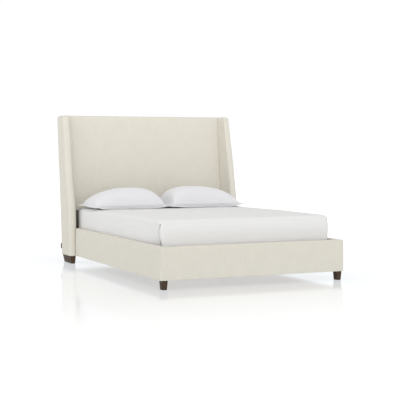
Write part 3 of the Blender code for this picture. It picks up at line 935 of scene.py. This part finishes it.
def rim_walk(nx, ny):
    """Grid places round the edge, with the way each one faces outwards."""
    walk = [((i, 0), (0, -1)) for i in range(1, nx)] + [((nx, 0), (1, -1))]
    walk += [((nx, j), (1, 0)) for j in range(1, ny)] + [((nx, ny), (1, 1))]
    walk += [((i, ny), (0, 1)) for i in range(nx - 1, 0, -1)] + [((0, ny), (-1, 1))]
    walk += [((0, j), (-1, 0)) for j in range(ny - 1, 0, -1)] + [((0, 0), (-1, -1))]
    return walk


def make_pillow(name, side):
    """A flanged sham: filled by simulation, set down on the bed, and its flange drawn out from the seam."""
    low, high = corners("pillow_" + name)
    centre = (low + high) / 2 + Vector((side * 0.010 - 0.010, 0.0, 0.0))
    thickness = (high.z - low.z) * (1.045 + 0.015 * side)
    half = ((high.x - low.x) / 2 - FLANGE + 0.006, (high.y - low.y) / 2 - FLANGE + 0.010)
    cut = (half[0] * 1.06, half[1] * 1.08)
    blank, panels = pillow_blank("blank_" + name, *cut)
    flat = np.array([tuple(v.co) for v in blank.data.vertices])
    flat /= (*cut, 1.0)
    fill_with_down(blank, 26, 5.0)
    filled = np.array([tuple(v.co) for v in blank.data.vertices])
    threads = np.array([tuple(edge.vertices) for edge in blank.data.edges])
    for _ in range(40):
        filled = even_out(filled, threads)
    bpy.data.objects.remove(blank, do_unlink=True)
    reach = np.abs(filled[:, :2]).max(axis=0)
    deepest = np.abs(filled[:, 2]).max()

    def settle(face, number):
        """Bring a simulated point to its place; most of the down lies towards the bed's middle."""
        u, v = flat[number][:2]
        p = filled[number]
        x = centre.x + (0.8 * u + 0.2 * p[0] / reach[0]) * half[0]
        y = centre.y + (0.8 * v + 0.2 * p[1] / reach[1]) * half[1]
        if side > 0 and u < 0:
            x -= 0.020 * abs(u) ** 2
        fullness = 2.4 if u * side > 0 else 4.7 + 0.9 * side
        dome = max((1 - min(abs(u), 1.0) ** fullness) * (1 - min(abs(v), 1.0) ** 2.6), 0.0) ** 0.5
        z = SEAM_HEIGHT * (1 - min(dome * 1.8, 1.0))
        if face > 0:
            puff = 0.80 * dome + 0.20 * min(abs(p[2]) / deepest, 1.0) * dome ** 0.25
            z = SEAM_HEIGHT + (thickness - SEAM_HEIGHT) * puff * (1 - 0.10 * side * u)
            z += (0.0030 * wobble((x, y, 0.0), 6.0, side) + 0.0012 * wobble((x, y, 0.0), 18.0, side)) * dome
        return Vector((x, y, bed_top(x, y) + 0.001 + max(z, 0.0)))

    points = []
    faces = []

    def add(point):
        points.append(point)
        return len(points) - 1

    ply = Vector((0, 0, 0.0012))
    grids = {}
    for face in (1, -1):
        grids[face] = {place: add(settle(face, number) + ply * face)
                       for place, number in panels[face].items()}
        faces += panel_quads(grids[face], face)
    strips = []
    for place, way in rim_walk(*THREADS):
        root = settle(1, panels[1][place])
        ends = flat[panels[1][place]][0]
        outward = Vector((way[0], way[1], 0.0))
        wave = 0.007 * wobble((root.x, root.y, 0.0), 6.5, side * 3.0)
        wave += 0.003 * wobble((root.x, root.y, 0.0), 21.0)
        held_up = (0.028 if ends * side > 0 else 0.015) * abs(ends) ** 6
        spots = []
        for share in np.arange(1, 8) / 7:
            spot = root + outward * FLANGE * share
            spot.z += wave * share ** 0.8 - (SEAM_HEIGHT - held_up) * share ** 1.3
            spot.z = max(spot.z, bed_top(spot.x, spot.y) + 0.0025)
            spots.append(spot)
        upper = [add(spot + ply) for spot in spots]
        lower = [add(spot - ply) for spot in spots[::-1]]
        strips.append([grids[1][place]] + upper + lower + [grids[-1][place]])
    for here, following in zip(strips, strips[1:] + strips[:1]):
        for k in range(len(here) - 1):
            faces.append((following[k], here[k], here[k + 1], following[k + 1]))
    body = piece_from("sham_" + name, points, faces, sham_cotton)
    smooth_over(body)
    fit_out(body, ["pillow_" + name])


# ---- tag ----------------------------------------------------------------
def make_tag():
    """A plain folded loop of dark tape caught in the wing's back seam."""
    low, high = corners("side_tag")
    x = (low.x + high.x) / 2
    length, fold = 0.0175, 0.0009
    ply = [(0.0007 + 0.0006 * math.sin(math.pi * k / 5), length * k / 6) for k in range(6)]
    loop = [(-across, out) for across, out in ply]
    loop += arc_points((0.0, length), fold, 180, 0, 6)
    loop += ply[::-1]
    rings = []
    for z in np.linspace(low.z, high.z, 12):
        seam = back_plane(z) - 0.0065
        rings.append([(x + across - 0.0045 - 0.62 * out, seam + 0.78 * out + across * 0.6, z)
                      for across, out in loop])
    tag = skin("plain_tag", rings, tag_cloth)
    fit_out(tag, ["side_tag"])


# ---- fixings and levellers ----------------------------------------------
def repeat_group():
    """Geometry Nodes: one small piece set on every point of a string of points."""
    group = bpy.data.node_groups.new("set_in_a_row", "GeometryNodeTree")
    kinds = {"Points": "Geometry", "Piece": "Object", "Finish": "Material", "Seed": "Int"}
    for label, kind in kinds.items():
        group.interface.new_socket(label, in_out="INPUT", socket_type="NodeSocket" + kind)
    group.interface.new_socket("Geometry", in_out="OUTPUT", socket_type="NodeSocketGeometry")
    given = group.nodes.new("NodeGroupInput").outputs
    piece = wire(group, "GeometryNodeObjectInfo", {"Object": given["Piece"]})
    uneven = wire(group, "FunctionNodeRandomValue", {"Seed": given["Seed"]}, data_type="FLOAT")
    limits = [socket for socket in uneven.inputs if socket.type == "VALUE"]
    limits[0].default_value = 0.96
    limits[1].default_value = 1.04
    size = [socket for socket in uneven.outputs if socket.type == "VALUE"][0]
    turn = wire(group, "GeometryNodeInputNamedAttribute", {"Name": "turn"}, data_type="FLOAT_VECTOR")
    around = wire(group, "FunctionNodeEulerToRotation", {0: turn.outputs[0]})
    placed = wire(group, "GeometryNodeInstanceOnPoints",
                  {"Points": given["Points"], "Instance": piece.outputs["Geometry"],
                   "Rotation": around.outputs[0], "Scale": size})
    real = wire(group, "GeometryNodeRealizeInstances", {0: placed.outputs[0]})
    coloured = wire(group, "GeometryNodeSetMaterial",
                    {"Geometry": real.outputs[0], "Material": given["Finish"]})
    group.links.new(coloured.outputs[0], group.nodes.new("NodeGroupOutput").inputs["Geometry"])
    return group


set_in_a_row = repeat_group()


def repeat(name, model, spots, finish):
    """Copies of a small model at (place, turn) spots, turned into one plain mesh."""
    mesh = bpy.data.meshes.new(name)
    mesh.from_pydata([place for place, turn in spots], [], [])
    turns = mesh.attributes.new("turn", "FLOAT_VECTOR", "POINT")
    for number, (place, turn) in enumerate(spots):
        turns.data[number].vector = turn
    piece = stand(name, mesh)
    modifier = piece.modifiers.new("Row", "NODES")
    modifier.node_group = set_in_a_row
    values = {"Piece": model, "Finish": finish, "Seed": 7}
    for item in set_in_a_row.interface.items_tree:
        if item.name in values:
            modifier[item.identifier] = values[item.name]
    apply_modifiers(piece)
    fit_out(piece)


def screw_model():
    """A pan head with a cross recess pressed into it, standing up from z = 0."""
    outline = ((0.0030, -0.0006), (0.0042, 0.0002), (0.0042, 0.0012), (0.0036, 0.0019), (0.0026, 0.0022),
               (0.0024, 0.0022), (0.0016, 0.0022), (0.0008, 0.0022))
    rings = []
    for radius, z in outline:
        sunk = 0.0011 if radius < 0.0020 else 0.0
        ring = []
        for a in circle(24):
            in_slot = max(abs(math.cos(2 * a)) - 0.55, 0.0) / 0.45
            ring.append((radius * math.cos(a), radius * math.sin(a), z - sunk * in_slot))
        rings.append(ring)
    return skin("screw_model", rings, steel)


def staple_model():
    """The crown of an upholstery staple, lying along X."""
    half = [(0.0043, 0.0, 0.0006), (0.0050, 0.0, 0.0003), (0.0052, 0.0, -0.0006)]
    path = [(-x, y, z) for x, y, z in half[::-1]] + half
    return tube("staple_model", path, 0.0006, steel, sides=6)


def make_fixings():
    """Two screws at each end of a slat, two rows in each rail bracket, staples under the rails."""
    screw, staple = screw_model(), staple_model()
    spots = []
    for node in sorted(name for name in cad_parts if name.startswith("slat_") and name[5:].isdigit()):
        low, high = corners(node)
        for side in SIDES.values():
            x = side * (max(abs(low.x), abs(high.x)) - 0.012)
            for y in (low.y + 0.018, high.y - 0.018):
                spots.append(((x, y, high.z), (0.0, 0.0, 0.7 * (y + x))))
    repeat("slat_screws", screw, spots, steel)
    spots = []
    for name, side in SIDES.items():
        low, high = corners("rail_bracket_" + name)
        inner = min(abs(low.x), abs(high.x))
        for z in np.linspace(low.z + 0.020, high.z - 0.020, 4):
            for y in (low.y + 0.015, low.y + 0.040):
                spots.append(((side * inner, y, z), (0.0, -side * math.pi / 2, 0.0)))
    repeat("bracket_screws", screw, spots, steel)
    spots = []
    bottom = corners("rail_board_left")[0].z
    for side in SIDES.values():
        for y in np.arange(FOOT_Y + 0.12, 0.85, 0.030):
            spots.append(((side * (RAIL_OUTER - 0.024), y, bottom), (math.pi, 0.0, math.pi / 2)))
    for x in np.arange(-RAIL_OUTER + 0.12, RAIL_OUTER - 0.10, 0.030):
        spots.append(((x, FOOT_Y + 0.024, bottom), (math.pi, 0.0, 0.0)))
    repeat("rail_staples", staple, spots, steel)
    for model in (screw, staple):
        bpy.data.objects.remove(model, do_unlink=True)


THREAD_PITCH = 0.00125


def make_levellers():
    """A threaded stem in a hexagon collar, screwed into a dished nylon pad."""
    for name in ("foot", "head"):
        low, high = corners("leveller_stem_" + name)
        centre = (low + high) / 2
        count = int((high.z - low.z) / THREAD_PITCH * 6)
        rings = []
        for z in np.linspace(low.z, high.z, count + 1):
            ring = []
            for a in circle(20):
                phase = (z / THREAD_PITCH + a / math.tau) % 1.0
                radius = 0.0040 - 0.0007 * abs(2 * phase - 1)
                ring.append((centre.x + radius * math.cos(a), centre.y + radius * math.sin(a), z))
            rings.append(ring)
        stem = skin("leveller_screw_" + name, rings, steel)
        collar = []
        for z, size in ((0.0010, 0.0064), (0.0016, 0.0073), (0.0060, 0.0073), (0.0066, 0.0064)):
            ring = []
            for number, a in enumerate(circle(12)):
                reach = size * (math.cos(math.pi / 6) if number % 2 else 1.0)
                ring.append((centre.x + reach * math.cos(a), centre.y + reach * math.sin(a), low.z + z))
            collar.append(ring)
        nut = skin("leveller_nut_" + name, collar, steel)
        fit_out(stem, ["leveller_stem_" + name], body="leveller_%s_stem" % name)
        fit_out(nut, body="leveller_%s_stem" % name)


# ---- finishes for the pieces that keep their shape ----------------------
def finish_frame_nodes():
    """Wood, plate and nylon for the frame's own parts; the longest matching name wins."""
    finishes = {
        "headboard_post": pine_z, "headboard_top_rail": pine_x, "headboard_middle_rail": pine_x,
        "headboard_bottom_rail": pine_x, "headboard_face_board": plywood, "wing_core": pine_z,
        "wing_foam": foam, "rail_board": pine_y, "footboard_board": pine_x, "slat_ledge": pine_y,
        "corner_block": pine_z, "centre_beam": pine_y, "centre_leg": pine_z, "slat": pine_x,
        "rail_bracket": steel, "beam_hanger": steel, "leveller_stem": steel, "leveller_pad": nylon,
    }
    for node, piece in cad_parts.items():
        matches = [key for key in finishes if node.startswith(key)]
        if matches:
            best = max(matches, key=len)
            piece.data.materials.clear()
            piece.data.materials.append(finishes[best])


# ---- floor, light and camera --------------------------------------------
def floor_material():
    """A white acrylic floor lit from below: it glows, less near the bed as painted shade and bluish just
    under it as painted shadow colour; a weak sheen round the bed fades out over a metre or so.
    """
    material = bpy.data.materials.new("floor")
    material.use_nodes = True
    tree = material.node_tree
    tree.nodes.remove(tree.nodes["Principled BSDF"])
    place = wire(tree, "ShaderNodeTexCoord").outputs["Object"]
    extent = (WING_OUTER, back_high.y, 0.0)
    size = wire(tree, "ShaderNodeVectorMath", {0: place}, operation="ABSOLUTE")
    past = wire(tree, "ShaderNodeVectorMath", {0: size.outputs[0], 1: extent}, operation="SUBTRACT")
    out = wire(tree, "ShaderNodeVectorMath", {0: past.outputs[0], 1: (0.0, 0.0, 0.0)}, operation="MAXIMUM")
    away = wire(tree, "ShaderNodeVectorMath", {0: out.outputs[0]}, operation="LENGTH")
    fade = between(tree, away.outputs["Value"], 0.34, 0.0, (0.0, 2.7))
    # Painted shade: the floor's glow is weaker near the bed, rising to full white four metres off.
    lift = between(tree, away.outputs["Value"], 0.76, 1.02, (0.0, 4.0))
    outside = between(tree, away.outputs["Value"], 0.0, 1.0, (0.0, 0.35))
    # Painted shadow colour: a bluish tint under and just round the bed.
    under, open_floor = (0.955, 1.005, 1.045, 1.0), (0.995, 1.0, 0.995, 1.0)
    tint = wire(tree, "ShaderNodeMixRGB", {"Fac": outside, "Color1": under, "Color2": open_floor})
    glow = wire(tree, "ShaderNodeEmission", {"Color": tint.outputs[0], "Strength": lift})
    matt = wire(tree, "ShaderNodeBsdfDiffuse", {"Color": (0.238, 0.24, 0.244, 1.0)})
    base = wire(tree, "ShaderNodeAddShader", {0: glow.outputs[0], 1: matt.outputs[0]})
    gloss = wire(tree, "ShaderNodeBsdfGlossy", {"Color": (1.0, 1.0, 1.0, 1.0), "Roughness": 0.10})
    mixed = wire(tree, "ShaderNodeMixShader", {0: fade, 1: base.outputs[0], 2: gloss.outputs[0]})
    tree.links.new(mixed.outputs[0], tree.nodes["Material Output"].inputs["Surface"])
    return material


def make_world():
    """A plain white studio; it lights the bed more gently than it looks."""
    world = bpy.data.worlds.new("studio")
    scene.world = world
    world.use_nodes = True
    tree = world.node_tree
    path = wire(tree, "ShaderNodeLightPath")
    seen = sums(tree, "MAXIMUM", path.outputs["Is Camera Ray"], path.outputs["Is Glossy Ray"])
    strength = between(tree, seen, 0.735, 1.02)
    feed(tree, tree.nodes["Background"], {"Color": (1.0, 1.0, 1.0, 1.0), "Strength": strength})


def point_along(thing, way):
    thing.rotation_euler = way.to_track_quat("-Z", "Y").to_euler()


def ray(round_left, up):
    """The way light or sight runs from this many radians left of the foot and this many up."""
    flat = math.cos(up)
    return Vector((math.sin(round_left) * flat, math.cos(round_left) * flat, -math.sin(up)))


def softbox(name, place, aim, size, power):
    light = bpy.data.lights.new(name, "AREA")
    light.shape = "RECTANGLE"
    light.size, light.size_y = size
    light.energy = power
    lamp = stand(name, light)
    lamp.location = place
    point_along(lamp, Vector(aim) - Vector(place))


def sun_lamp(name, round_left, up, strength):
    """A very soft light from far off: degrees round to the left of the foot, degrees up."""
    light = bpy.data.lights.new(name, "SUN")
    light.energy = strength
    light.angle = math.radians(45)
    point_along(stand(name, light), ray(math.radians(round_left), math.radians(up)))


def make_stage():
    reach = 40.0
    mesh = bpy.data.meshes.new("floor")
    square = [(-reach, -reach, 0.0), (reach, -reach, 0.0), (reach, reach, 0.0), (-reach, reach, 0.0)]
    mesh.from_pydata(square, [], [(0, 1, 2, 3)])
    mesh.materials.append(floor_material())
    stand("floor", mesh)
    make_world()
    softbox("overhead", (-0.5, -1.0, 3.3), (0.3, 0.8, 0.7), (3.0, 2.5), 19.0)
    sun_lamp("front", 15.0, 12.0, 0.68)
    sun_lamp("left", 75.0, 20.0, 0.29)


def make_camera():
    """A long lens seen from the foot, left of centre and a little above the mattress."""
    lens = bpy.data.cameras.new("camera")
    lens.sensor_width = 36.0
    lens.lens = 36.0 * 2.7164
    lens.clip_end = 200.0
    camera = stand("camera", lens)
    camera.location = (-3.9163, -8.8197, 1.0981)
    point_along(camera, ray(0.4253, 0.0500))
    scene.camera = camera


scene.view_settings.view_transform = "Standard"
for label, sign in SIDES.items():
    make_pillow(label, sign)
make_panel()
make_back_panel()
make_head_gap_shade()
make_wings()
make_rails()
make_foot_deck()
make_feet()
make_mattress()
make_tag()
make_fixings()
make_levellers()
finish_frame_nodes()
make_stage()
make_camera()
